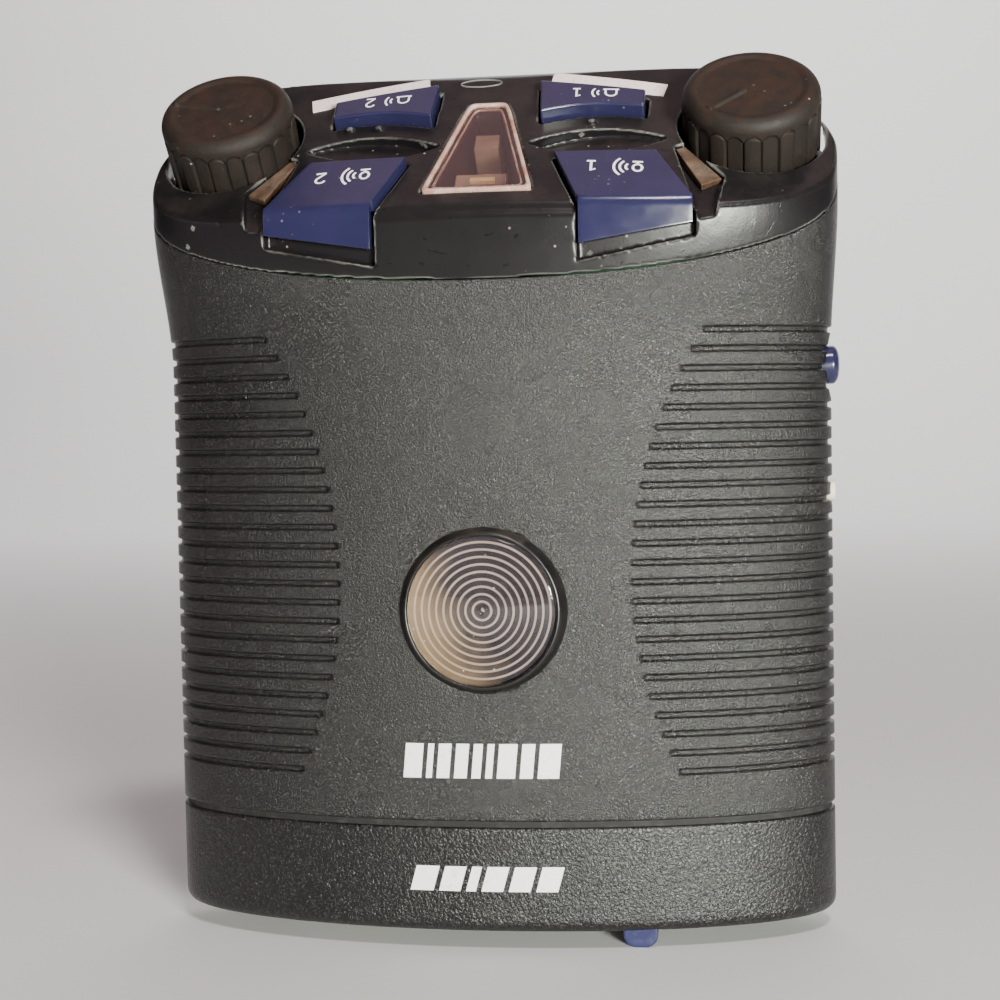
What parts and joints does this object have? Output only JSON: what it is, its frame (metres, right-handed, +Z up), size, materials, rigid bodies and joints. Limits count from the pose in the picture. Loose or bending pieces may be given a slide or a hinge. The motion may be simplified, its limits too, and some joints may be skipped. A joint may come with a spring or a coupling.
{
  "type": "intercom bodypack",
  "caption": "Slim lens-shaped belt-worn communication pack with a sloping control panel, two rotary knobs, wide push buttons, grooved side grips, base sockets and a rear belt clip.",
  "frame": {"origin": "middle of the flat underside of the base cap", "axes": "+Z up the pack towards the control panel, +X to the wearer's-view right of the front face, -Y out of the front face, +Y towards the belt clip"},
  "size_m": [0.1026, 0.0425, 0.1304],
  "materials": {
    "case": "fine moulded grain",
    "cap": "smooth semi-matte",
    "base": "coarse moulded grain",
    "gasket": "matte",
    "bezel": "satin",
    "badge_print": "printed disc",
    "clear": "clear moulded acrylic",
    "light_block": "diffuse",
    "light_bars": "diffuse lens",
    "amber": "translucent",
    "button": "gloss moulded",
    "knob": "worn soft-touch",
    "steel": "bright",
    "black_steel": "black zinc",
    "clip_steel": "black powder coat",
    "component": "moulded",
    "board": "solder mask",
    "ribbon": "flat cable",
    "ivory": "moulded",
    "nickel": "nickel plate",
    "insert": "moulded",
    "gold": "gold plate",
    "latch": "moulded",
    "tape": "paper tape"
  },
  "bodies": {
    "case": {"front_shell": "case", "rear_shell": "case", "top_cap": "cap", "base_cap": "base", "seam_gasket": "gasket", "badge_bezel": "bezel", "badge_disc": "badge_print", "badge_lens": "clear", "window_lens": "clear", "light_block": "light_block", "light_bars": "light_bars", "indicator_left": "amber", "indicator_right": "amber", "pot_left": "component", "pot_right": "component", "control_board": "board", "main_board": "board", "side_board": "board", "board_components": "component", "talk_switch_left": "component", "talk_switch_right": "component", "call_switch_left": "component", "call_switch_right": "component", "board_ribbon": "ribbon", "board_screws": "steel", "case_screws": "black_steel", "base_screws": "black_steel", "side_switch": "component", "trimmer_body": "component", "headset_shell": "nickel", "headset_insert": "insert", "headset_pins": "gold", "line_shell": "nickel", "line_insert": "insert", "line_contacts": "gold", "label_tape_left": "tape", "label_tape_right": "tape", "clip_bracket": "black_steel", "clip_spring": "steel", "clip_pin": "steel", "clip_screws": "black_steel"},
    "knob_left": {"knob_left": "knob", "pot_shaft_left": "steel"},
    "knob_right": {"knob_right": "knob", "pot_shaft_right": "steel"},
    "talk_button_left": {"talk_button_left": "button"},
    "call_button_left": {"call_button_left": "button"},
    "talk_button_right": {"talk_button_right": "button"},
    "call_button_right": {"call_button_right": "button"},
    "side_button": {"side_button": "button"},
    "trimmer_rotor": {"trimmer_rotor": "ivory"},
    "line_latch": {"line_latch": "latch"},
    "clip_lever": {"clip_lever": "clip_steel"}
  },
  "joints": [
    {"name": "knob_left_turn", "type": "hinge", "parent": "case", "child": "knob_left", "pos_m": [-0.03892, -0.00168, 0.11773], "axis": [0, -0.6794, 0.7337], "range_deg": [-120, 150]},
    {"name": "talk_left_press", "type": "slide", "parent": "case", "child": "talk_button_left", "axis": [0, 0.6794, -0.7337], "range_m": [0, 0.001], "stiffness_N_per_m": 900, "springref_m": -0.0012},
    {"name": "call_left_press", "type": "slide", "parent": "case", "child": "call_button_left", "axis": [0, 0.6794, -0.7337], "range_m": [0, 0.001], "stiffness_N_per_m": 900, "springref_m": -0.0012},
    {"name": "knob_right_turn", "type": "hinge", "parent": "case", "child": "knob_right", "pos_m": [0.03892, -0.00168, 0.11773], "axis": [0, -0.6794, 0.7337], "range_deg": [-150, 120]},
    {"name": "talk_right_press", "type": "slide", "parent": "case", "child": "talk_button_right", "axis": [0, 0.6794, -0.7337], "range_m": [0, 0.001], "stiffness_N_per_m": 900, "springref_m": -0.0012},
    {"name": "call_right_press", "type": "slide", "parent": "case", "child": "call_button_right", "axis": [0, 0.6794, -0.7337], "range_m": [0, 0.001], "stiffness_N_per_m": 900, "springref_m": -0.0012},
    {"name": "side_press", "type": "slide", "parent": "case", "child": "side_button", "axis": [-1, 0, 0], "range_m": [0, 0.0008], "stiffness_N_per_m": 700, "springref_m": -0.0012},
    {"name": "trimmer_turn", "type": "hinge", "parent": "case", "child": "trimmer_rotor", "pos_m": [0.046, 0.003, 0.0625], "axis": [1, 0, 0], "range_deg": [-130, 130]},
    {"name": "latch_press", "type": "slide", "parent": "case", "child": "line_latch", "axis": [0, 0, 1], "range_m": [0, 0.0018], "stiffness_N_per_m": 800, "springref_m": -0.0012},
    {"name": "clip_open", "type": "hinge", "parent": "case", "child": "clip_lever", "pos_m": [0, 0.0208, 0.091], "axis": [1, 0, 0], "range_deg": [0, 16], "stiffness_Nm_per_rad": 0.6, "springref_deg": -20.05}
  ]
}
